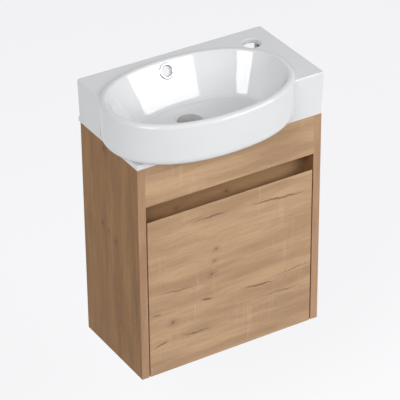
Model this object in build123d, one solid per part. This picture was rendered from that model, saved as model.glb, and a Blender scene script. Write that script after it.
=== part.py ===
"""Wall-hung cloakroom vanity: an oak-faced cabinet with one door under a glazed ceramic basin.

Millimetres. X runs to the right seen from the front, Y towards the wall, Z up. The origin is
the centre of the four wall screw holes, on the wall's face.
"""
from build123d import *
import math
import os

os.makedirs("parts", exist_ok=True)

# Cabinet
cabinet_width = 380.0
cabinet_depth = 200.0
cabinet_height = 440.0
board = 15.0
edge_band = 1.0
hang_drop = 52.0            # wall screws' centre below the cabinet's top
wall_gap = 7.0              # the cabinet stands off the wall by this much
fascia_height = 79.0
recess_height = 33.0        # finger opening between the fascia and the door
recess_depth = 32.0         # front plane to the face of the recess rail
rail_height = 112.0
rail_overlap = 30.0         # the recess rail reaches this far below the door's top
back_rail_height = 70.0
back_rail_drop = 77.0       # the cabinet's top to the upper back rail's top

# Door and its buffers
door_board = 16.0
door_gap = 2.5
door_stop_gap = 4.0         # behind the door, to the bottom panel's front edge
door_bevel_land = 1.0       # flat left at the front of the bevelled top edge
buffer_diameter = 10.0
buffer_inset = 40.0
running_gap = 0.3
buffer_hinge_inset = 120.0  # the buffer on the hinge side, clear of the lower hinge

# Basin
ceramic = 9.0               # wall thickness of the basin
flange_height = 9.0
deck_height = 85.0          # the cabinet's top to the deck
deck_flare = 2.6            # the slab's sides lean out by this much
deck_lean = 3.7             # and its front by this much
rim_rise = 5.0              # the bowl's rim above the deck
drum_x = -27.8              # the oval drum's centre, from the cabinet's middle
drum_y = 64.7               # and from the cabinet's front plane
drum_a = 182.0
drum_b = 122.0
drum_power = 2.2            # 2 would be an ellipse
drum_round = 15.0           # lower edge of the drum
rim_outer_round = 7.0
rim_inner_round = 4.0
rim_width = 11.5
bowl_floor = 16.0           # bowl floor's edge above the cabinet's top
floor_a = 128.0
floor_b = 72.0
floor_x = -24.0
floor_y = 62.0
floor_round = 12.0
floor_flat = 8.0            # the floor's edge to where it starts to fall to the drain
drain_y = 92.0
drain_drop = 4.0            # from the floor to the drain's seat
dish_diameter = 56.0
dish_depth = 5.0
waste_diameter = 46.0
waste_boss_diameter = 70.0
waste_boss_drop = 14.0      # the boss below the cabinet's top
tap_x = 141.8
tap_y = 155.9
tap_diameter = 35.0
tap_round = 1.5
back_corner_round = 7.0
deck_edge_round = 3.0
front_corner_round = 3.5
back_opening_post = 10.0
back_opening_lip = 14.0
overflow_height = 73.1      # overflow's centre above the cabinet's top
overflow_hole = 24.0
overflow_ring_diameter = 30.5
overflow_ring_bore = 19.0
overflow_ring_thick = 2.6
overflow_sleeve = 9.0
overflow_x = -31.2
fit_gap = 0.1               # play round a piece that sits in a hole
overshoot = 1.0             # a cut runs this far past the face it breaks through
edge_slack = 1.0            # allowed when an edge is looked for by its place

# Hinges: a pot let into the door, one pin, and a swan-neck arm on a side plate
hinge_margin = 75.0         # door's ends to the hinge's middle
cup_diameter = 35.0
cup_depth = 13.0
cup_wall = 0.8
cup_tab = 3.0               # wood left between the pot and the door's edge
cup_flange = 1.2
cup_flange_rim = 2.0
cup_wing_length = 56.0
cup_wing_width = 16.0
cup_screw_pitch = 45.0
cup_screw_back = 9.5        # the cup screws lie this far past the pot's centre
pin_from_edge = 8.5
pin_from_front = 6.0
pin_diameter = 2.0
pin_play = 0.05
knuckle_round = 1.8
arm_thick = 2.5
arm_width = 12.0
arm_clear = 0.85            # between the door's sweep and the arm
arm_length = 50.0
arm_offset = 8.0            # the arm's middle off the side panel
plate_foot = 1.5
plate_foot_length = 58.0
plate_foot_width = 18.0
plate_block_width = 11.0
plate_block_length = 38.0
plate_screw_pitch = 32.0
plate_setback = 37.0        # front plane to the plate's screws
plate_block_setback = 27.0
arm_bends = (4.0, 7.0, 4.0)
arm_screw = 4.0
arm_screw_head = 7.0
arm_screw_setback = 54.0
spring_wall = 0.7
pin_lug = 2.0               # length of the lugs that hold the pin in the pot
pin_lug_half = 2.4          # half their width

# Hanging fittings
hanger_steel = 2.0
hanger_depth = 62.0
hanger_flange = 20.0
hanger_drop = 40.0
tongue_length = 37.2        # the tongue runs forward from the cabinet's back by this much
hanger_screw_pitch = 22.0
hook_height = 32.0          # tongue's seat above the wall screws' centre
claw_drop = 9.0
wall_plate_width = 26.0
wall_plate_drop = 20.0
wall_plate_shelf = 17.0
wall_plate_step = 6.0
wall_screw_hole = 5.5
wall_screw_pitch = 20.0

# Knock-down fittings
cam_diameter = 15.0
cam_depth = 12.2
cam_setback = 24.0
cam_slot = 7.4
cam_cross = 2.0
cam_slot_length = 9.0
joint_pitch = 32.0          # cam bolt to dowel at the end of a board
joint_inset = 35.0          # a bottom panel's bolts from its front and back edges
bolt_diameter = 6.0
bolt_head = 6.6
bolt_neck = 3.6
bolt_neck_length = 4.5
bolt_head_length = 3.0
bolt_thread = 5.0
bolt_thread_length = 11.0
dowel_diameter = 8.0
dowel_in_side = 10.0
dowel_in_board = 20.0
dowel_chamfer = 1.0
hole_spare = 1.0            # blind holes are this much deeper than what goes in them
screw_diameter = 3.5
screw_head = 7.0
screw_head_height = 1.8
screw_length = 12.0
slot_share = 0.6            # a screw's driver slot: its length as a share of the head
slot_width_share = 0.15     # and its width
cup_screw_length = 11.0

# Places that follow from the sizes above
cab_top = hang_drop
cab_bottom = cab_top - cabinet_height
cab_back = -wall_gap
cab_front = cab_back - cabinet_depth
half = cabinet_width / 2
inner_half = half - board
fascia_bottom = cab_top - fascia_height
door_top = fascia_bottom - recess_height
door_half = inner_half - door_gap
bottom_front = cab_front + door_board + door_stop_gap
rail_face = cab_front + recess_depth
rail_bottom = door_top - rail_overlap
upper_rail_top = cab_top - back_rail_drop
deck_z = cab_top + deck_height
rim_z = deck_z + rim_rise
flange_top = cab_top + flange_height
drum_centre = (drum_x, cab_front + drum_y)
floor_centre = (floor_x, cab_front + floor_y)
drain_centre = (drum_x, cab_front + drain_y)
floor_z = cab_top + bowl_floor
drain_z = floor_z - drain_drop
tap_centre = (tap_x, cab_front + tap_y)
bottom_top = cab_bottom + board
pin_at = (-door_half + pin_from_edge, cab_front + pin_from_front)
door_back = cab_front + door_board
cup_x = -door_half + cup_tab + cup_diameter / 2
hinge_heights = (cab_bottom + hinge_margin, door_top - hinge_margin)
sweep_edge = math.hypot(pin_from_edge, door_board - pin_from_front)
sweep_flange = math.hypot(pin_from_edge - cup_tab + cup_flange_rim, door_board - pin_from_front + cup_flange)
arm_reach = max(sweep_edge, sweep_flange) + arm_clear + arm_thick / 2
arm_x = -inner_half + arm_offset
hanger_x = inner_half - hanger_steel - hanger_flange / 2
pin_offset = cup_x - pin_at[0]
pot_outside = cup_diameter / 2 - fit_gap
pin_half = math.sqrt(pot_outside ** 2 - (pin_offset + pin_diameter / 2) ** 2)


def block(x, y, z):
    """A box given by its low and high limits along each axis."""
    centre = ((x[0] + x[1]) / 2, (y[0] + y[1]) / 2, (z[0] + z[1]) / 2)
    return Pos(*centre) * Box(x[1] - x[0], y[1] - y[0], z[1] - z[0])


def rod(start, direction, diameter, length):
    """A cylinder that starts at a point and runs along a direction."""
    return extrude(Plane(start, z_dir=direction) * Circle(diameter / 2), length)


def oval(centre, a, b, z):
    """A flat superellipse, the basin's plan shape."""
    points = []
    steps = 16
    for i in range(steps):
        angle = 2 * math.pi * i / steps
        c, s = math.cos(angle), math.sin(angle)
        x = a * math.copysign(abs(c) ** (2 / drum_power), c)
        y = b * math.copysign(abs(s) ** (2 / drum_power), s)
        points.append((centre[0] + x, centre[1] + y, z))
    return Face(Wire([Edge.make_spline(points, periodic=True)]))


def round_face(centre, diameter, z):
    """A flat disc."""
    return Pos(centre[0], centre[1], z) * Circle(diameter / 2).face()


def slab_outline(flare, lean, inset, z):
    """The slab's plan: a rectangle whose front-left corner is cut off inside the drum."""
    left, right = -half - flare + inset, half + flare - inset
    front, back = cab_front - lean + inset, -inset
    corners = [
        (left, back), (right, back), (right, front),
        (drum_centre[0], front), (left, drum_centre[1]),
    ]
    return Face(Wire.make_polygon([(x, y, z) for x, y in corners], close=True))


def near(x, y):
    """A filter for upright edges whose middle lies close to a place in plan."""
    return lambda e: abs(e.center().X - x) < deck_lean + edge_slack and abs(e.center().Y - y) < deck_lean + edge_slack


def slab():
    """The basin's flat-topped body, at the back and the right of the bowl."""
    body = loft([slab_outline(0, 0, 0, cab_top), slab_outline(deck_flare, deck_lean, 0, deck_z)], ruled=True)
    body = fillet(body.edges().filter_by(near(-half, 0)), back_corner_round)
    body = fillet(body.edges().filter_by(near(half, cab_front)), front_corner_round)
    rim = body.edges().group_by(Axis.Z)[-1]
    cut = rim.filter_by(lambda e: e.center().X < drum_centre[0] and e.center().Y < drum_centre[1])
    return fillet([e for e in rim if e not in cut], deck_edge_round)


def bowl_solid(grow):
    """The bowl's hollow, or with grow the hollow and the ceramic round it."""
    rim = rim_width - grow
    mouth = oval(drum_centre, drum_a - rim, drum_b - rim, rim_z)
    floor = oval(floor_centre, floor_a + grow, floor_b + grow, floor_z - grow)
    side = loft([floor, mouth], ruled=True)
    return fillet(side.edges().group_by(Axis.Z)[0], floor_round + grow)


def drain_solid(grow):
    """The shallow funnel in the bowl's floor that leads to the waste hole."""
    wide = oval(floor_centre, floor_a - floor_flat + grow, floor_b - floor_flat + grow, floor_z - grow)
    narrow = round_face(drain_centre, dish_diameter + 2 * grow, drain_z - grow)
    return loft([narrow, wide], ruled=True)


def waste_tool():
    """The seat for a waste fitting and the hole below it."""
    seat = round_face(drain_centre, dish_diameter, drain_z)
    mouth = round_face(drain_centre, waste_diameter, drain_z - dish_depth)
    start = (*drain_centre, cab_top - waste_boss_drop - overshoot)
    bore = rod(start, (0, 0, 1), waste_diameter, flange_height + deck_height)
    return loft([mouth, seat], ruled=True) + bore


def underside_pocket():
    """The space under the deck and round the bowl, open to the cabinet and to the wall."""
    top = deck_z - ceramic
    low = slab_outline(0, 0, ceramic, cab_top - overshoot)
    high = slab_outline(deck_flare, deck_lean, ceramic, top)
    space = loft([low, high], ruled=True)
    wide = (-half + back_opening_post, half - back_opening_post)
    back = block(wide, (-2 * ceramic, overshoot), (flange_top, deck_z - back_opening_lip))
    boss = rod((*drain_centre, cab_top - 2 * overshoot), (0, 0, 1), waste_boss_diameter, deck_height)
    return space + back - bowl_solid(ceramic) - drain_solid(ceramic) - boss


def tap_tool():
    """The tap hole with its softened upper edge."""
    r, top, low = tap_diameter / 2, deck_z, deck_z - 2 * ceramic
    walls = Polyline((0, top), (0, low), (r, low), (r, top - tap_round))
    round_edge = CenterArc((r + tap_round, top - tap_round), tap_round, 90, 90)
    face = Plane.XZ * make_face([*walls.edges(), round_edge, Line((r + tap_round, top), (0, top))])
    return Pos(*tap_centre, 0) * revolve(face, Axis.Z)


def overflow_plane():
    """A plane on the bowl's back wall at the overflow, facing into the bowl."""
    rise = rim_z - floor_z
    mouth_y = drum_centre[1] + drum_b - rim_width
    floor_back = floor_centre[1] + floor_b
    slope = (mouth_y - floor_back) / rise
    z = cab_top + overflow_height
    y = floor_back + (z - floor_z) * slope
    return Plane((overflow_x, y, z), z_dir=(0, -1, slope))


def basin():
    """The glazed basin: an oval bowl in a drum that grows out of a flat slab."""
    drum = extrude(oval(drum_centre, drum_a, drum_b, flange_top), rim_z - flange_top)
    drum = fillet(drum.edges().group_by(Axis.Z)[0], drum_round)
    drum = fillet(drum.edges().group_by(Axis.Z)[-1], rim_outer_round)
    flange = block((-half, half), (cab_front, 0), (cab_top, flange_top))
    boss_bottom = cab_top - waste_boss_drop
    boss = rod((*drain_centre, boss_bottom), (0, 0, 1), waste_boss_diameter, flange_top - boss_bottom)
    body = drum + (slab() - tap_tool()) + flange + boss
    body = body - bowl_solid(0)
    lip = body.edges().group_by(Axis.Z)[-1].sort_by(lambda e: e.length)[0]
    body = fillet(lip, rim_inner_round)
    body = body - drain_solid(0) - waste_tool()
    throat = extrude(overflow_plane() * Circle(overflow_hole / 2), 2 * ceramic, both=True)
    ring_seat = extrude(overflow_plane() * Circle(overflow_ring_diameter / 2 + fit_gap), overflow_ring_thick)
    body = body - (ring_seat + throat)
    return body - underside_pocket()


def overflow_ring():
    """The chromed ring in the overflow: a rounded collar on a thin sleeve."""
    bore, outer = overflow_ring_bore / 2, overflow_ring_diameter / 2
    sleeve = overflow_hole / 2 - fit_gap
    with_bead = outer - overflow_ring_thick
    section = Polyline((bore, -overflow_sleeve), (sleeve, -overflow_sleeve), (sleeve, 0), (outer, 0))
    bead = CenterArc((with_bead, 0), overflow_ring_thick, 0, 90)
    top = Line((with_bead, overflow_ring_thick), (bore + overflow_ring_thick, overflow_ring_thick))
    inside = CenterArc((bore + overflow_ring_thick, 0), overflow_ring_thick, 90, 90)
    close = Line((bore, 0), (bore, -overflow_sleeve))
    face = Plane.XZ * make_face([*section.edges(), bead, top, inside, close])
    return overflow_plane() * revolve(face, Axis.Z)


def boards():
    """Each board between the side panels, with its knock-down joints at both ends.

    A joint is a place (y, z) in the board's mid-plane and the way its cam faces.
    """
    down, to_wall = (0, 0, -1), (0, 1, 0)
    bottom_z = cab_bottom + board / 2
    fascia_y = cab_front + board / 2
    rail_y = rail_face + board / 2
    back_y = cab_back - board / 2
    low_rail_z = bottom_top + back_rail_height / 2
    up_rail_z = upper_rail_top - back_rail_height / 2
    rail_z = rail_bottom + rail_height / 2
    fascia_z = cab_top - fascia_height / 2
    reach = (-inner_half, inner_half)
    back_depth = (cab_back - board, cab_back)
    return {
        "bottom_panel": dict(
            body=block(reach, (bottom_front, cab_back), (cab_bottom, bottom_top)),
            cams=[(bottom_front + joint_inset, bottom_z, down), (cab_back - joint_inset, bottom_z, down)],
            dowels=[((bottom_front + cab_back) / 2, bottom_z)]),
        "fascia": dict(
            body=block(reach, (cab_front, cab_front + board), (fascia_bottom, cab_top)),
            cams=[(fascia_y, fascia_z + joint_pitch / 2, to_wall)],
            dowels=[(fascia_y, fascia_z - joint_pitch / 2)]),
        "recess_rail": dict(
            body=block(reach, (rail_face, rail_face + board), (rail_bottom, rail_bottom + rail_height)),
            cams=[(rail_y, rail_z + joint_pitch / 2, to_wall)],
            dowels=[(rail_y, rail_z - joint_pitch / 2)]),
        "back_rail_upper": dict(
            body=block(reach, back_depth, (upper_rail_top - back_rail_height, upper_rail_top)),
            cams=[(back_y, up_rail_z + joint_pitch / 2, to_wall)],
            dowels=[(back_y, up_rail_z - joint_pitch / 2)]),
        "back_rail_lower": dict(
            body=block(reach, back_depth, (bottom_top, bottom_top + back_rail_height)),
            cams=[(back_y, low_rail_z + joint_pitch / 2, to_wall)],
            dowels=[(back_y, low_rail_z - joint_pitch / 2)]),
    }


def cam_bore(side, y, z, facing):
    """The round pocket for a cam lock, sunk from the board's face."""
    start = Vector(side * (inner_half - cam_setback), y, z) + Vector(*facing) * (board / 2)
    return rod(start, Vector(*facing) * -1, cam_diameter, cam_depth)


def cam_lock(side, y, z, facing):
    """A cam lock: a drum with a driver slot and a side mouth for the bolt's head."""
    facing = Vector(*facing)
    centre = Vector(side * (inner_half - cam_setback), y, z)
    face = centre + facing * (board / 2)
    drum = rod(face, facing * -1, cam_diameter - 2 * fit_gap, cam_depth - fit_gap)
    mouth = rod(centre - Vector(side * bolt_head, 0, 0), (side, 0, 0), cam_slot, cam_diameter)
    slot = Plane(face, x_dir=(1, 0, 0), z_dir=facing) * Box(cam_slot_length, cam_cross, 2 * cam_cross)
    return drum - mouth - slot


def cam_bolt(side, y, z):
    """A cam bolt: thread in the side panel, shank, neck, and a head inside the cam."""
    neck = cam_setback - bolt_neck_length
    tip = cam_setback + bolt_head_length / 2
    radii = [
        (-bolt_thread_length, bolt_thread), (0, bolt_thread), (0, bolt_diameter), (neck, bolt_diameter),
        (neck, bolt_neck), (tip - bolt_head_length, bolt_neck),
        (tip - bolt_head_length, bolt_head), (tip, bolt_head),
    ]
    outline = [(0, -bolt_thread_length)] + [(d / 2, at) for at, d in radii] + [(0, tip)]
    face = Plane.XZ * make_face(Polyline(*outline, close=True).edges())
    return Plane((side * inner_half, y, z), z_dir=(-side, 0, 0)) * revolve(face, Axis.Z)


def dowel(side, y, z):
    """A beech dowel across the joint."""
    length = dowel_in_side + dowel_in_board
    end = (side * (inner_half + dowel_in_side), y, z)
    body = rod(end, (-side, 0, 0), dowel_diameter, length)
    return chamfer(body.edges(), dowel_chamfer)


def bored_boards():
    """The boards with their bores, then the cams, bolts and dowels as groups."""
    nodes, cams, bolts, dowels = {}, [], [], []
    side_holes = {-1: [], 1: []}
    for name, spec in boards().items():
        cuts = []
        for side in (-1, 1):
            inward = (-side, 0, 0)
            for y, z, facing in spec["cams"]:
                cuts.append(cam_bore(side, y, z, facing))
                cuts.append(rod((side * inner_half, y, z), inward, cam_slot, cam_setback))
                side_holes[side].append((y, z, bolt_thread, bolt_thread_length))
                cams.append(cam_lock(side, y, z, facing))
                bolts.append(cam_bolt(side, y, z))
            for y, z in spec["dowels"]:
                hole = dowel_diameter + 2 * fit_gap
                cuts.append(rod((side * inner_half, y, z), inward, hole, dowel_in_board + hole_spare))
                side_holes[side].append((y, z, dowel_diameter, dowel_in_side))
                dowels.append(dowel(side, y, z))
        nodes[name] = spec["body"] - cuts
    nodes["cam_locks"] = Compound(cams)
    nodes["cam_bolts"] = Compound(bolts)
    nodes["dowels"] = Compound(dowels)
    return nodes, side_holes


def side_panel(side, holes):
    """One side panel, bored for the joints, the hinge plates and the hanging bracket."""
    inner, outer = side * inner_half, side * half
    x = (min(inner, outer), max(inner, outer))
    body = block(x, (cab_front + edge_band, cab_back), (cab_bottom, cab_top))
    cuts = [
        rod((inner, y, z), (side, 0, 0), size + 2 * fit_gap, depth + hole_spare)
        for y, z, size, depth in holes
    ]
    screws = hanger_screw_places()
    if side < 0:
        screws = screws + plate_screw_places()
    for y, z in screws:
        cuts.append(rod((inner, y, z), (side, 0, 0), screw_diameter + 2 * fit_gap, screw_length + hole_spare))
    return body - cuts


def edge_strip(side):
    """The band glued to a side panel's front edge."""
    x = sorted((side * inner_half, side * half))
    return block(x, (cab_front, cab_front + edge_band), (cab_bottom, cab_top))


def screw(start, direction, length, head=screw_head, shank=screw_diameter):
    """A screw whose head's underside lies at the start and whose shank runs along the direction."""
    direction = Vector(*direction)
    start = Vector(*start)
    cap = rod(start - direction * screw_head_height, direction, head, screw_head_height)
    rim = cap.edges().sort_by(lambda e: (e.center() - start).dot(direction))[0]
    cap = chamfer(rim, screw_head_height / 3)
    shaft = rod(start, direction, shank, length)
    slot_at = start - direction * screw_head_height
    slot = Plane(slot_at, z_dir=direction) * Box(head * slot_share, head * slot_width_share, screw_head_height)
    return cap + shaft - slot


def plate_screw_places():
    """Where the hinge plates' screws enter the left side panel."""
    y = cab_front + plate_setback
    return [(y, z + s * plate_screw_pitch / 2) for z in hinge_heights for s in (-1, 1)]


def hanger_screw_places():
    """Where a hanging bracket's screws enter its side panel."""
    middle = cab_back - hanger_depth / 2
    z = hook_height - hanger_drop / 2
    return [(middle + s * hanger_screw_pitch, z) for s in (-1, 0, 1)]


def door_panel():
    """The door: bevelled along its top, bored for the hinge pots and their screws."""
    body = block((-door_half, door_half), (cab_front, door_back), (cab_bottom, door_top))
    top_back = body.edges().filter_by(Axis.X).sort_by(lambda e: e.center().Y + e.center().Z)[-1]
    body = chamfer(top_back, door_board - door_bevel_land)
    for z in hinge_heights:
        body -= rod((cup_x, door_back, z), (0, -1, 0), cup_diameter, cup_depth)
        for place in cup_screw_places(z):
            body -= rod(place, (0, -1, 0), screw_diameter + 2 * fit_gap, cup_screw_length + hole_spare)
    return body


def cup_screw_places(z):
    """Where a hinge pot's two screws enter the door's back."""
    x = cup_x + cup_screw_back
    return [(x, door_back, z + s * cup_screw_pitch / 2) for s in (-1, 1)]


def hinge_cup(z):
    """A pressed hinge pot with its wings, open towards the cabinet."""
    outer = cup_diameter - 2 * fit_gap
    pot = rod((cup_x, door_back, z), (0, -1, 0), outer, cup_depth - fit_gap)
    rim = rod((cup_x, door_back, z), (0, 1, 0), cup_diameter + 2 * cup_flange_rim, cup_flange)
    wing_plane = Plane((cup_x + cup_screw_back, door_back, z), x_dir=(1, 0, 0), z_dir=(0, 1, 0))
    wing_outline = wing_plane * RectangleRounded(cup_wing_width, cup_wing_length, cup_wing_width / 3)
    wing = extrude(wing_outline, cup_flange)
    hollow = rod(
        (cup_x, door_back + cup_flange + overshoot, z), (0, -1, 0),
        outer - 2 * cup_wall, cup_depth - fit_gap - cup_wall + cup_flange + overshoot)
    lugs = block(
        (pin_at[0] - pin_lug_half, pin_at[0] + pin_lug_half),
        (door_back - cup_depth + fit_gap, pin_at[1] + pin_diameter), (z - pin_half, z + pin_half))
    between = (z - pin_half + pin_lug, z + pin_half - pin_lug)
    lugs -= block((pin_at[0] - cup_diameter, cup_x), (cab_front, door_back), between)
    lugs = lugs & rod((cup_x, door_back, z), (0, -1, 0), outer, cup_depth)
    pin_start = (*pin_at, z - pin_half - fit_gap)
    pin_bore = rod(pin_start, (0, 0, 1), pin_diameter + 2 * pin_play, 2 * (pin_half + fit_gap))
    screws = [
        rod((x, y - overshoot, at), (0, 1, 0), screw_diameter + 2 * fit_gap, cup_flange + 2 * overshoot)
        for x, y, at in cup_screw_places(z)
    ]
    return pot + rim + wing - hollow + lugs - pin_bore - screws


def hinge_pin(z):
    """The pin across the pot, held at both ends in the pot's wall."""
    return rod((*pin_at, z - pin_half), (0, 0, 1), pin_diameter, 2 * pin_half)


def hinge_springs(z):
    """The two closing springs on the pin, either side of the arm; each tight coil is a plain sleeve."""
    inner = pin_diameter + 4 * fit_gap
    start = arm_width / 2 + running_gap
    length = pin_half - pin_lug - running_gap - start
    springs = []
    for side in (-1, 1):
        place = (*pin_at, z + side * start)
        sleeve = rod(place, (0, 0, side), inner + 2 * spring_wall, length)
        springs.append(sleeve - rod(place, (0, 0, side), inner, length))
    return springs


def arm_outline():
    """The swan neck in plan: round the door's swinging edge and back to the side panel."""
    x, y = pin_at
    far_y = y + arm_reach
    path = FilletPolyline(
        (x, y), (x + arm_reach, y), (x + arm_reach, far_y), (arm_x, far_y), (arm_x, far_y + arm_length),
        radius=arm_bends)
    return trace(path, arm_thick)


def arm_screw_hole(z):
    """The hole for the screw that holds a hinge arm on its plate."""
    start = (-inner_half, cab_front + arm_screw_setback, z)
    return rod(start, (1, 0, 0), arm_screw + 2 * fit_gap, 2 * arm_offset)


def hinge_arm(z):
    """A hinge arm with its knuckle round the pin."""
    low = Pos(0, 0, z - arm_width / 2)
    body = low * extrude(arm_outline(), arm_width)
    knuckle = rod((*pin_at, z - arm_width / 2), (0, 0, 1), 2 * knuckle_round, arm_width)
    bore = rod((*pin_at, z - arm_width), (0, 0, 1), pin_diameter + 2 * pin_play, 2 * arm_width)
    return body + knuckle - bore - arm_screw_hole(z)


def hinge_plate(z):
    """The plate on the side panel that the arm is screwed to."""
    foot_y = cab_front + plate_setback
    foot = block(
        (-inner_half, -inner_half + plate_foot),
        (foot_y - plate_foot_width / 2, foot_y + plate_foot_width / 2),
        (z - plate_foot_length / 2, z + plate_foot_length / 2))
    foot = fillet(foot.edges().filter_by(Axis.X), plate_foot_width / 4)
    start = cab_front + plate_block_setback
    seat = block(
        (-inner_half, arm_x - arm_thick / 2), (start, start + plate_block_length),
        (z - plate_block_width / 2, z + plate_block_width / 2))
    body = foot + seat
    for s in (-1, 1):
        at = (-inner_half - overshoot, foot_y, z + s * plate_screw_pitch / 2)
        body -= rod(at, (1, 0, 0), screw_diameter + 2 * fit_gap, plate_foot + 2 * overshoot)
    return body - arm_screw_hole(z)


def hanging_bracket(side):
    """A steel bracket: a plate on the side panel, a tongue and a claw that hooks over the wall plate."""
    x_out, x_in = side * inner_half, side * (inner_half - hanger_steel)
    x_edge = side * (inner_half - hanger_steel - hanger_flange)
    top = hook_height + hanger_steel
    claw_back = -(wall_plate_step - 2 * hanger_steel) / 2
    plate = block(sorted((x_out, x_in)), (cab_back - hanger_depth, cab_back), (top - hanger_drop, top))
    tongue = block(sorted((x_out, x_edge)), (cab_back - tongue_length, claw_back), (hook_height, top))
    claw_y = (claw_back - hanger_steel, claw_back)
    claw = block(sorted((x_out, x_edge)), claw_y, (hook_height - claw_drop, top))
    body = plate + tongue + claw
    for y, z in hanger_screw_places():
        start = (side * (inner_half - hanger_steel - overshoot), y, z)
        body -= rod(start, (side, 0, 0), screw_diameter + 2 * fit_gap, hanger_steel + 2 * overshoot)
    return body


def wall_plate(side):
    """A steel plate for the wall, with a lip that the bracket's claw drops behind."""
    middle = side * hanger_x
    x = (middle - wall_plate_width / 2, middle + wall_plate_width / 2)
    lip_back = -wall_plate_step + hanger_steel
    plate = block(x, (-hanger_steel, 0), (-wall_plate_drop, wall_plate_shelf + hanger_steel))
    shelf = block(x, (-wall_plate_step, 0), (wall_plate_shelf, wall_plate_shelf + hanger_steel))
    lip = block(x, (-wall_plate_step, lip_back), (wall_plate_shelf, hook_height))
    body = plate + shelf + lip
    for s in (-1, 1):
        start = (middle, -2 * hanger_steel, s * wall_screw_pitch / 2)
        body -= rod(start, (0, 1, 0), wall_screw_hole, 3 * hanger_steel)
    return body


def door_buffers():
    """Soft buttons on the bottom panel's front edge that the door closes against."""
    z = cab_bottom + board / 2
    thick = door_stop_gap - running_gap
    places = [inner_half - buffer_inset, -inner_half + buffer_hinge_inset]
    return [rod((x, bottom_front, z), (0, -1, 0), buffer_diameter, thick) for x in places]


def build():
    """Every node by name."""
    nodes, side_holes = bored_boards()
    nodes["basin"] = basin()
    nodes["overflow_ring"] = overflow_ring()
    for name, side in (("left", -1), ("right", 1)):
        nodes["side_panel_" + name] = side_panel(side, side_holes[side])
        nodes["edge_band_" + name] = edge_strip(side)
        nodes["hanging_bracket_" + name] = hanging_bracket(side)
        nodes["wall_plate_" + name] = wall_plate(side)
    nodes["door_panel"] = door_panel()
    nodes["door_buffers"] = Compound(door_buffers())
    nodes["hinge_cups"] = Compound([hinge_cup(z) for z in hinge_heights])
    nodes["hinge_pins"] = Compound([hinge_pin(z) for z in hinge_heights])
    nodes["hinge_springs"] = Compound([s for z in hinge_heights for s in hinge_springs(z)])
    nodes["hinge_arms"] = Compound([hinge_arm(z) for z in hinge_heights])
    nodes["hinge_plates"] = Compound([hinge_plate(z) for z in hinge_heights])
    nodes["cup_screws"] = Compound([
        screw((x, y + cup_flange, at), (0, -1, 0), cup_screw_length + cup_flange)
        for z in hinge_heights for x, y, at in cup_screw_places(z)])
    nodes["plate_screws"] = Compound([
        screw((-inner_half + plate_foot, y, z), (-1, 0, 0), screw_length + plate_foot)
        for y, z in plate_screw_places()])
    nodes["arm_screws"] = Compound([
        screw((arm_x + arm_thick / 2, cab_front + arm_screw_setback, z), (-1, 0, 0),
              arm_offset + arm_thick / 2 - hole_spare, arm_screw_head, arm_screw)
        for z in hinge_heights])
    nodes["hanger_screws"] = Compound([
        screw((side * (inner_half - hanger_steel), y, z), (side, 0, 0), screw_length + hanger_steel)
        for side in (-1, 1) for y, z in hanger_screw_places()])
    return nodes


for node, shape in build().items():
    export_step(shape, f"parts/{node}.step")
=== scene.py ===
# %% [markdown]
# # A wall-hung vanity with an oval basin
#
# This lesson dresses a small bathroom cabinet. The solids come from the CAD frame, in metres,
# with X to the right, Y into the wall and Z up. Each cell adds one piece, finish or light, and
# says what it is on the real object and why it is made this way.

# %% Load the frame
import math

import bpy
from mathutils import Matrix, Vector

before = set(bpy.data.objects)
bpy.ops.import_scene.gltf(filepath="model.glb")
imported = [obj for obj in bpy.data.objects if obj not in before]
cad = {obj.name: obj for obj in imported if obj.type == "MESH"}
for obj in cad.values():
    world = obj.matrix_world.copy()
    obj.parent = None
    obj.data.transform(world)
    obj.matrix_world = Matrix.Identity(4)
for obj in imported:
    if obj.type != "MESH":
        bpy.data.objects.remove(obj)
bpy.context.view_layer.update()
print("frame holds", len(cad), "pieces")

# %% [markdown]
# ## The camera
#
# A product photograph is taken from a few metres away with a long lens, so upright lines stay
# nearly parallel. The place and the lens were solved from the cabinet's straight edges.

# %% Camera
camera_place = Vector((-1.8526, -3.1577, 2.0666))
camera_turn, camera_tilt, camera_roll = (math.radians(a) for a in (31.21, 31.49, -0.51))
looking = Vector((math.sin(camera_turn) * math.cos(camera_tilt),
                  math.cos(camera_turn) * math.cos(camera_tilt), -math.sin(camera_tilt)))
level = looking.cross(Vector((0, 0, 1))).normalized()
upward = level.cross(looking)
right = level * math.cos(camera_roll) + upward * math.sin(camera_roll)
up = upward * math.cos(camera_roll) - level * math.sin(camera_roll)
lens = bpy.data.cameras.new("long_lens")
lens.lens = 207.28
lens.sensor_width = 36.0
lens.clip_end = 50.0
camera = bpy.data.objects.new("camera", lens)
turn = Matrix((right, up, -looking)).transposed().to_4x4()
camera.matrix_world = Matrix.Translation(camera_place) @ turn
bpy.context.collection.objects.link(camera)
bpy.context.scene.camera = camera
print("camera stands", round(camera_place.length, 2), "m away")

# %% [markdown]
# ## Small helpers for materials
#
# A material is a graph of nodes. These helpers add a node, set its plain values and join its
# sockets in one line, so a finish below reads like a recipe.


# %% Material helpers
def add(tree, kind, links=None, **values):
    """Adds a node. Plain values go to its settings, links to its input sockets."""
    made = tree.nodes.new(kind)
    for key, value in values.items():
        setattr(made, key, value)
    for key, value in (links or {}).items():
        socket = made.inputs[key]
        if isinstance(value, bpy.types.NodeSocket):
            tree.links.new(value, socket)
        else:
            socket.default_value = value
    return made


def calc(tree, operation, a, b=0.0, c=0.0, clamp=False):
    """One step of arithmetic between sockets or numbers."""
    return add(tree, "ShaderNodeMath", {0: a, 1: b, 2: c}, operation=operation, use_clamp=clamp).outputs[0]


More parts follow.
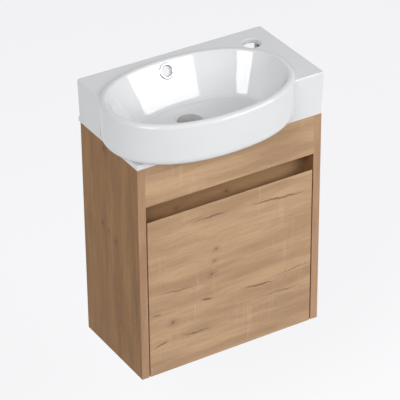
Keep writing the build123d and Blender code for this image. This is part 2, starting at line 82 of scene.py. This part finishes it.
def blend(tree, amount, low, high, how="MIX"):
    """Mixes two colours by an amount."""
    made = add(tree, "ShaderNodeMix", data_type="RGBA", blend_type=how, clamp_factor=True)
    for place, value in ((0, amount), (6, low), (7, high)):
        if isinstance(value, bpy.types.NodeSocket):
            tree.links.new(value, made.inputs[place])
        else:
            made.inputs[place].default_value = value
    return made.outputs[2]


def stretch(tree, vector, amounts, shift=(0, 0, 0), spin=(0, 0, 0)):
    """Scales, shifts and turns a pattern's coordinates."""
    return add(tree, "ShaderNodeMapping", {"Vector": vector, "Scale": amounts, "Location": shift,
                                           "Rotation": spin}).outputs[0]


def noise(tree, vector, scale, detail=3.0, rough=0.5, warp=0.0):
    """Smooth noise from 0 to 1."""
    return add(tree, "ShaderNodeTexNoise", {"Vector": vector, "Scale": scale, "Detail": detail,
                                            "Roughness": rough, "Distortion": warp}).outputs["Fac"]


def window(tree, value, start, end, low=0.0, high=1.0):
    """Spreads the part of a value between start and end over low to high, with soft ends."""
    limits = {"Value": value, "From Min": start, "From Max": end, "To Min": low, "To Max": high}
    return add(tree, "ShaderNodeMapRange", limits, interpolation_type="SMOOTHSTEP").outputs[0]


def new_material(name, **surface):
    """A material with one surface shader, whose even values are set on its own sockets."""
    made = bpy.data.materials.new(name)
    made.use_nodes = True
    tree = made.node_tree
    tree.nodes.clear()
    shader = add(tree, "ShaderNodeBsdfPrincipled", surface)
    output = add(tree, "ShaderNodeOutputMaterial")
    tree.links.new(shader.outputs[0], output.inputs["Surface"])
    place = add(tree, "ShaderNodeTexCoord").outputs["Object"]
    return made, tree, shader, place


def tone(red, green, blue):
    """A colour written as it looks on a screen, from 0 to 255, turned into linear light."""
    parts = [value / 255 for value in (red, green, blue)]
    return tuple(v / 12.92 if v <= 0.04045 else ((v + 0.055) / 1.055) ** 2.4 for v in parts) + (1.0,)


print("a mid oak in linear light:", [round(v, 3) for v in tone(187, 156, 127)[:3]])

# %% [markdown]
# ## Oak decor: cracks and knots
#
# The cabinet's boards are chipboard under a printed and pressed oak decor. What makes it look
# like oak are a few dark cracks along the grain and knots with rings. Each is a small group that
# measures how far a point is from a line or from a centre, and darkens what is near.


# %% Crack and knot groups
MARK_STRENGTH = 0.7       # how far a crack or knot darkens the oak
CRACK_WIDTH_SHARE = 0.85  # the drawn width of a crack, as a share of the measured one


def mark_group(name, inputs):
    """An empty node group with the two coordinates, the given number inputs and one output."""
    group = bpy.data.node_groups.new(name, "ShaderNodeTree")
    for label in ("Along", "Across") + inputs:
        group.interface.new_socket(label, in_out="INPUT", socket_type="NodeSocketFloat")
    group.interface.new_socket("Mark", in_out="OUTPUT", socket_type="NodeSocketFloat")
    given = group.nodes.new("NodeGroupInput").outputs
    mark = group.nodes.new("NodeGroupOutput").inputs["Mark"]
    return group, given, mark


def crack_group():
    """Mark = soft step of (width times taper) minus the distance across from a tilted line."""
    measures = ("Centre along", "Centre across", "Half length", "Tilt", "Width")
    group, given, mark = mark_group("crack", measures)
    run = calc(group, "SUBTRACT", given["Along"], given["Centre along"])
    rise = calc(group, "MULTIPLY", run, given["Tilt"])
    drop = calc(group, "SUBTRACT", given["Across"], given["Centre across"])
    off = calc(group, "ABSOLUTE", calc(group, "SUBTRACT", drop, rise))
    share = calc(group, "DIVIDE", run, given["Half length"])
    taper = calc(group, "SUBTRACT", 1.0, calc(group, "MULTIPLY", share, share), clamp=True)
    wide = calc(group, "MULTIPLY", calc(group, "MULTIPLY", given["Width"], CRACK_WIDTH_SHARE), taper)
    near = calc(group, "DIVIDE", off, calc(group, "ADD", wide, 0.00012))
    deep = calc(group, "MULTIPLY", window(group, near, 1.6, 0.2), calc(group, "SQRT", taper))
    group.links.new(deep, mark)
    return group


def knot_group():
    """Mark = a dark core, plus rings that fade with the distance from the centre."""
    group, given, mark = mark_group("knot", ("Centre along", "Centre across", "Radius"))
    run = calc(group, "MULTIPLY", calc(group, "SUBTRACT", given["Along"], given["Centre along"]), 0.75)
    drop = calc(group, "SUBTRACT", given["Across"], given["Centre across"])
    squares = calc(group, "ADD", calc(group, "MULTIPLY", run, run), calc(group, "MULTIPLY", drop, drop))
    reach = calc(group, "DIVIDE", calc(group, "SQRT", squares), given["Radius"])
    core = window(group, reach, 1.0, 0.15)
    rings = calc(group, "MULTIPLY", calc(group, "SINE", calc(group, "MULTIPLY", reach, 9.0)), 0.3)
    rings = calc(group, "MULTIPLY", calc(group, "ADD", rings, 0.3), window(group, reach, 3.0, 0.8))
    group.links.new(calc(group, "MAXIMUM", core, rings), mark)
    return group


crack_shape, knot_shape = crack_group(), knot_group()
print("groups:", crack_shape.name, knot_shape.name)

# %% [markdown]
# ## Oak decor: the whole finish
#
# The grain is noise drawn out along the board: broad bands of tone, finer fibres and short dark
# pores. Faint light streaks across the grain are the marks of a frame saw. The grain runs
# across on the door and upright on the side panels, so the coordinates are turned first.


# %% Oak material
def oak(name, upright, cracks, knots, offset, tint_and_painted_shade=(1.0, 1.0, 1.0, 1.0)):
    """Oak with grain along X, or along Z if upright. Marks are in metres. The last argument multiplies the
    colour: a tone for the edge bands, painted shade for the side panels and the recess rail.
    """
    made, tree, shader, place = new_material(name, Roughness=0.5, **{"Specular IOR Level": 0.2})
    flat = add(tree, "ShaderNodeSeparateXYZ", {0: place}).outputs
    along, across = (flat["Z"], flat["Y"]) if upright else (flat["X"], flat["Z"])
    depth = flat["X"] if upright else flat["Y"]
    grain = add(tree, "ShaderNodeCombineXYZ", {"X": along, "Y": across, "Z": depth}).outputs[0]
    wander = calc(tree, "SUBTRACT", noise(tree, stretch(tree, grain, (1, 2.5, 2.5), offset), 9.0, 2.0), 0.5)
    crooked = calc(tree, "ADD", across, calc(tree, "MULTIPLY", wander, 0.02))
    bent = add(tree, "ShaderNodeCombineXYZ", {"X": along, "Y": crooked, "Z": depth}).outputs[0]
    bands = noise(tree, stretch(tree, bent, (2.2, 17, 17), offset), 2.2, 4.0, 0.55)
    fibres = noise(tree, stretch(tree, bent, (7, 150, 150), offset), 2.0, 3.0, 0.6)
    pores = window(tree, noise(tree, stretch(tree, bent, (38, 520, 520), offset), 2.0, 2.0), 0.6, 0.76)
    saw = noise(tree, stretch(tree, grain, (160, 9, 9), offset), 1.4, 2.0)
    saw = calc(tree, "MULTIPLY", window(tree, saw, 0.52, 0.78),
               window(tree, noise(tree, grain, 14.0, 1.0), 0.42, 0.66))
    base = blend(tree, window(tree, bands, 0.3, 0.7), tone(*OAK_DARK), tone(*OAK_LIGHT))
    base = blend(tree, calc(tree, "MULTIPLY", window(tree, fibres, 0.35, 0.75), 0.34), base, tone(*OAK_FIBRE))
    base = blend(tree, calc(tree, "MULTIPLY", saw, 0.3), base, tone(*OAK_SAWN))
    base = blend(tree, calc(tree, "MULTIPLY", pores, 0.3), base, tone(*OAK_PORE))
    jitter = calc(tree, "MULTIPLY", calc(tree, "SUBTRACT", noise(tree, grain, 55.0, 4.0, 0.7), 0.5), 0.011)
    shaky = calc(tree, "ADD", across, jitter)
    total = 0.0
    for c_along, c_across, half, tilt, wide in cracks:
        one = add(tree, "ShaderNodeGroup", node_tree=crack_shape)
        for key, value in zip(one.inputs.keys(), (along, shaky, c_along, c_across, half, tilt, wide)):
            link_or_set(tree, one.inputs[key], value)
        total = calc(tree, "MAXIMUM", total, one.outputs[0])
    for c_along, c_across, radius in knots:
        one = add(tree, "ShaderNodeGroup", node_tree=knot_shape)
        for key, value in zip(one.inputs.keys(), (along, shaky, c_along, c_across, radius)):
            link_or_set(tree, one.inputs[key], value)
        total = calc(tree, "MAXIMUM", total, one.outputs[0])
    colour = blend(tree, calc(tree, "MULTIPLY", total, MARK_STRENGTH), base, tone(*OAK_CRACK))
    # The colour multiplier: painted shade where it darkens the side panels and the recess rail.
    colour = blend(tree, 1.0, colour, tint_and_painted_shade, "MULTIPLY")
    tree.links.new(colour, shader.inputs["Base Color"])
    rough = calc(tree, "ADD", calc(tree, "MULTIPLY", fibres, 0.2), 0.42)
    tree.links.new(rough, shader.inputs["Roughness"])
    height = calc(tree, "SUBTRACT", calc(tree, "MULTIPLY", fibres, 0.35), calc(tree, "ADD", pores, total))
    bump = add(tree, "ShaderNodeBump", {"Strength": 0.22, "Distance": 0.0004, "Height": height})
    tree.links.new(bump.outputs[0], shader.inputs["Normal"])
    return made


def link_or_set(tree, socket, value):
    """Joins a socket to another, or writes a number into it."""
    if isinstance(value, bpy.types.NodeSocket):
        tree.links.new(value, socket)
    else:
        socket.default_value = value


def between(start, end, wide):
    """A crack from one end to the other, written as its centre, half length, tilt and width."""
    half = max((end[0] - start[0]) / 2, 1e-4)
    tilt = (end[1] - start[1]) / (2 * half)
    return ((start[0] + end[0]) / 2, (start[1] + end[1]) / 2, half, tilt, wide)


OAK_DARK, OAK_LIGHT = (172, 139, 108), (199, 165, 130)
OAK_FIBRE, OAK_SAWN = (160, 124, 92), (216, 188, 156)
OAK_PORE, OAK_CRACK = (122, 90, 64), (92, 66, 54)
door_cracks = [
    between((0.035, -0.092), (0.162, -0.101), 0.0024), between((-0.084, -0.088), (-0.005, -0.089), 0.0016),
    between((0.023, -0.266), (0.095, -0.271), 0.0022), between((0.09, -0.262), (0.172, -0.257), 0.0009),
    between((-0.067, -0.258), (-0.039, -0.263), 0.0024), between((-0.152, -0.216), (-0.079, -0.225), 0.001),
    between((-0.169, -0.258), (-0.147, -0.261), 0.0018), between((-0.108, -0.322), (-0.040, -0.327), 0.0018),
    between((-0.169, -0.33), (-0.131, -0.322), 0.002), between((0.06, -0.296), (0.15, -0.3), 0.0008),
]
door_knots = [(-0.032, -0.160, 0.0032), (-0.036, -0.185, 0.003), (-0.041, -0.211, 0.0042),
              (-0.124, -0.287, 0.0052)]
oak_door = oak("oak_door", False, door_cracks, door_knots, (0.3, 0.1, 0.0))
oak_rails = oak("oak_rails", False, [between((-0.12, -0.045), (0.0, -0.047), 0.0008)],
                [], (4.1, 2.3, 0.0))
side_cracks = [between((-0.321, -0.187), (-0.199, -0.192), 0.0012),
               between((-0.32, -0.158), (-0.300, -0.129), 0.001)]
side_knots = [(-0.120, -0.076, 0.0032), (-0.127, -0.099, 0.0028), (-0.136, -0.124, 0.0034),
              (0.040, -0.089, 0.005)]
# The side panels' oak is multiplied darker and warmer: painted shade on the cabinet's side faces.
oak_sides_painted_shade = oak("oak_sides_painted_shade", True, side_cracks, side_knots, (1.7, 5.2, 0.0), (0.63, 0.52, 0.36, 1.0))
oak_bands = oak("oak_bands", True, [], [], (2.9, 7.7, 0.0), (0.89, 0.83, 0.84, 1.0))
# The recess rail's oak is multiplied darker and warmer: painted shade in the finger-pull recess under the
# fascia.
oak_recess_painted_shade = oak("oak_recess_painted_shade", False, [], [(0.009, -0.069, 0.0038), (-0.095, -0.072, 0.003)],
                 (6.2, 3.4, 0.0), (0.8, 0.74, 0.65, 1.0))
for piece, finish in (("door_panel", oak_door), ("fascia", oak_rails), ("recess_rail", oak_recess_painted_shade),
                      ("bottom_panel", oak_rails), ("back_rail_upper", oak_rails),
                      ("back_rail_lower", oak_rails), ("side_panel_left", oak_sides_painted_shade),
                      ("side_panel_right", oak_sides_painted_shade), ("edge_band_left", oak_bands),
                      ("edge_band_right", oak_bands)):
    cad[piece].data.materials.clear()
    cad[piece].data.materials.append(finish)
print("oak on ten boards")

# %% [markdown]
# ## Glaze, chrome and plated steel
#
# The basin is vitreous china under a clear, hard glaze: nearly white, with a sharp reflection and
# a very faint waviness. The overflow's ring is polished chrome. Hinges and brackets are pressed
# steel with a thin plating, and the screws are bright zinc.


# %% Glaze and metals
def glaze():
    """White glaze: an even colour with faint cloudiness, a clear coat and slow waves in it."""
    made, tree, shader, place = new_material(
        "glaze", Roughness=0.07, IOR=1.5, **{"Coat Weight": 0.1, "Coat Roughness": 0.03})
    cloud = noise(tree, place, 16.0, 2.0)
    colour = blend(tree, cloud, tone(221, 222, 223), tone(227, 228, 229))
    tree.links.new(colour, shader.inputs["Base Color"])
    waves = noise(tree, place, 34.0, 1.0)
    bump = add(tree, "ShaderNodeBump", {"Strength": 0.08, "Distance": 0.0006, "Height": waves})
    tree.links.new(bump.outputs[0], shader.inputs["Normal"])
    return made


def plated(name, colour, rough, scratches):
    """Metal whose roughness and colour vary with fine scratches."""
    made, tree, shader, place = new_material(name, Metallic=1.0)
    lines = noise(tree, stretch(tree, place, (30, 900, 220)), scratches, 3.0)
    spots = noise(tree, place, 140.0, 3.0)
    dark = tuple(0.82 * part for part in colour[:3]) + (1.0,)
    tree.links.new(blend(tree, spots, dark, colour), shader.inputs["Base Color"])
    tree.links.new(calc(tree, "ADD", calc(tree, "MULTIPLY", lines, 0.12), rough), shader.inputs["Roughness"])
    bump = add(tree, "ShaderNodeBump", {"Strength": 0.05, "Distance": 0.0002, "Height": lines})
    tree.links.new(bump.outputs[0], shader.inputs["Normal"])
    return made


def soft_plastic(name, colour):
    """A slightly cloudy soft plastic."""
    made, tree, shader, place = new_material(name, Roughness=0.45)
    cloudy = blend(tree, noise(tree, place, 300.0), colour, tone(225, 225, 222))
    tree.links.new(cloudy, shader.inputs["Base Color"])
    return made


def beech():
    """Plain turned beech with fine flecks."""
    made, tree, shader, place = new_material("beech", Roughness=0.6)
    flecks = noise(tree, stretch(tree, place, (60, 700, 700)), 3.0)
    flecked = blend(tree, flecks, tone(196, 160, 118), tone(222, 190, 150))
    tree.links.new(flecked, shader.inputs["Base Color"])
    return made


white_glaze = glaze()
chrome = plated("chrome", tone(222, 223, 226), 0.03, 0.5)
nickel = plated("nickel", tone(196, 194, 189), 0.24, 2.0)
zinc_plate = plated("zinc_plate", tone(186, 187, 190), 0.3, 2.0)
die_cast = plated("die_cast", tone(150, 150, 152), 0.42, 1.0)
buffer_gel = soft_plastic("buffer_gel", tone(200, 200, 198))
dowel_wood = beech()
finishes = {
    "basin": white_glaze, "overflow_ring": chrome, "cam_locks": die_cast, "cam_bolts": zinc_plate,
    "dowels": dowel_wood, "hinge_cups": nickel, "cup_screws": zinc_plate, "hinge_pins": zinc_plate,
    "hinge_springs": zinc_plate, "hinge_arms": nickel, "hinge_plates": nickel, "plate_screws": zinc_plate,
    "arm_screws": zinc_plate, "hanging_bracket_left": zinc_plate, "hanging_bracket_right": zinc_plate,
    "hanger_screws": zinc_plate, "wall_plate_left": zinc_plate, "wall_plate_right": zinc_plate,
    "door_buffers": buffer_gel,
}
for piece, finish in finishes.items():
    cad[piece].data.materials.clear()
    cad[piece].data.materials.append(finish)
print("finishes on", len(finishes), "more pieces")

# %% [markdown]
# ## Studio
#
# The basin's own reflections tell where the lamps stood: a broad soft box to the right of the
# front, low down, and a smaller one to the left. A pale, even surround fills the shadows. The
# floor and the surround look white to the camera and to reflections, and the floor keeps a shadow.


# %% Lamps, surround and floor
def soft_box(name, side_angle, height_angle, distance, wide, high, power):
    """A rectangular lamp on a sphere round the basin, turned towards it. Angles are from the front."""
    a, e = math.radians(side_angle), math.radians(height_angle)
    aim = Vector((0, -0.12, 0.0))
    away = Vector((math.sin(a) * math.cos(e), -math.cos(a) * math.cos(e), math.sin(e)))
    lamp = bpy.data.lights.new(name, "AREA")
    lamp.shape, lamp.size, lamp.size_y, lamp.energy = "RECTANGLE", wide, high, power
    holder = bpy.data.objects.new(name, lamp)
    turned = away.to_track_quat("Z", "Y").to_matrix().to_4x4()
    holder.matrix_world = Matrix.Translation(aim + away * distance) @ turned
    bpy.context.collection.objects.link(holder)


def plainly_seen(tree):
    """1 for the rays that show the background: from the camera, off gloss and through glass."""
    rays = add(tree, "ShaderNodeLightPath").outputs
    gloss_or_glass = calc(tree, "MAXIMUM", rays["Is Glossy Ray"], rays["Is Transmission Ray"])
    return calc(tree, "MAXIMUM", rays["Is Camera Ray"], gloss_or_glass)


soft_box("soft_box_right", 38, 24, 3.0, 2.4, 1.2, 51)
soft_box("soft_box_left", -54, 29, 3.0, 1.3, 1.3, 37)
soft_box("soft_box_top", 0, 82, 2.6, 2.0, 1.4, 5)
FILL_STRENGTH = 0.33                          # the surround's even light
SEEN_WHITE = tone(246, 246, 248)              # the surround as the camera sees it
FLOOR_GLOW = tone(226, 226, 228)              # the floor's own light, for the camera
FLOOR_MATT = (0.25, 0.25, 0.25, 1.0)          # what the lamps and the shadow add to it
surround = bpy.data.worlds.new("surround")
bpy.context.scene.world = surround
surround.use_nodes = True
sky = surround.node_tree
sky.nodes.clear()
seen = plainly_seen(sky)
plain = add(sky, "ShaderNodeBackground", {"Color": SEEN_WHITE, "Strength": 1.0})
fill = add(sky, "ShaderNodeBackground", {"Color": (1.0, 1.0, 1.0, 1.0), "Strength": FILL_STRENGTH})
mixed = add(sky, "ShaderNodeMixShader", {0: seen, 1: fill.outputs[0], 2: plain.outputs[0]})
sky.links.new(mixed.outputs[0], add(sky, "ShaderNodeOutputWorld").inputs["Surface"])

floor_height, floor_reach = -0.71, 6.0
floor_mesh = bpy.data.meshes.new("floor")
corners = [(x * floor_reach, y * floor_reach, floor_height) for x, y in ((-1, -1), (1, -1), (1, 1), (-1, 1))]
floor_mesh.from_pydata(corners, [], [(0, 1, 2, 3)])
floor = bpy.data.objects.new("floor", floor_mesh)
bpy.context.collection.objects.link(floor)
floor_paint = bpy.data.materials.new("floor_paint")
floor_paint.use_nodes = True
ground = floor_paint.node_tree
ground.nodes.clear()
seen = plainly_seen(ground)
glow = add(ground, "ShaderNodeEmission", {"Color": FLOOR_GLOW})
matt = add(ground, "ShaderNodeBsdfDiffuse", {"Color": FLOOR_MATT})
both = add(ground, "ShaderNodeAddShader", {0: glow.outputs[0], 1: matt.outputs[0]})
pale = add(ground, "ShaderNodeBsdfDiffuse", {"Color": (0.75, 0.75, 0.76, 1.0)})
chosen = add(ground, "ShaderNodeMixShader", {0: seen, 1: pale.outputs[0], 2: both.outputs[0]})
ground.links.new(chosen.outputs[0], add(ground, "ShaderNodeOutputMaterial").inputs["Surface"])
floor_mesh.materials.append(floor_paint)
bpy.context.scene.view_settings.view_transform = "Standard"
print("floor at", floor_height, "m")
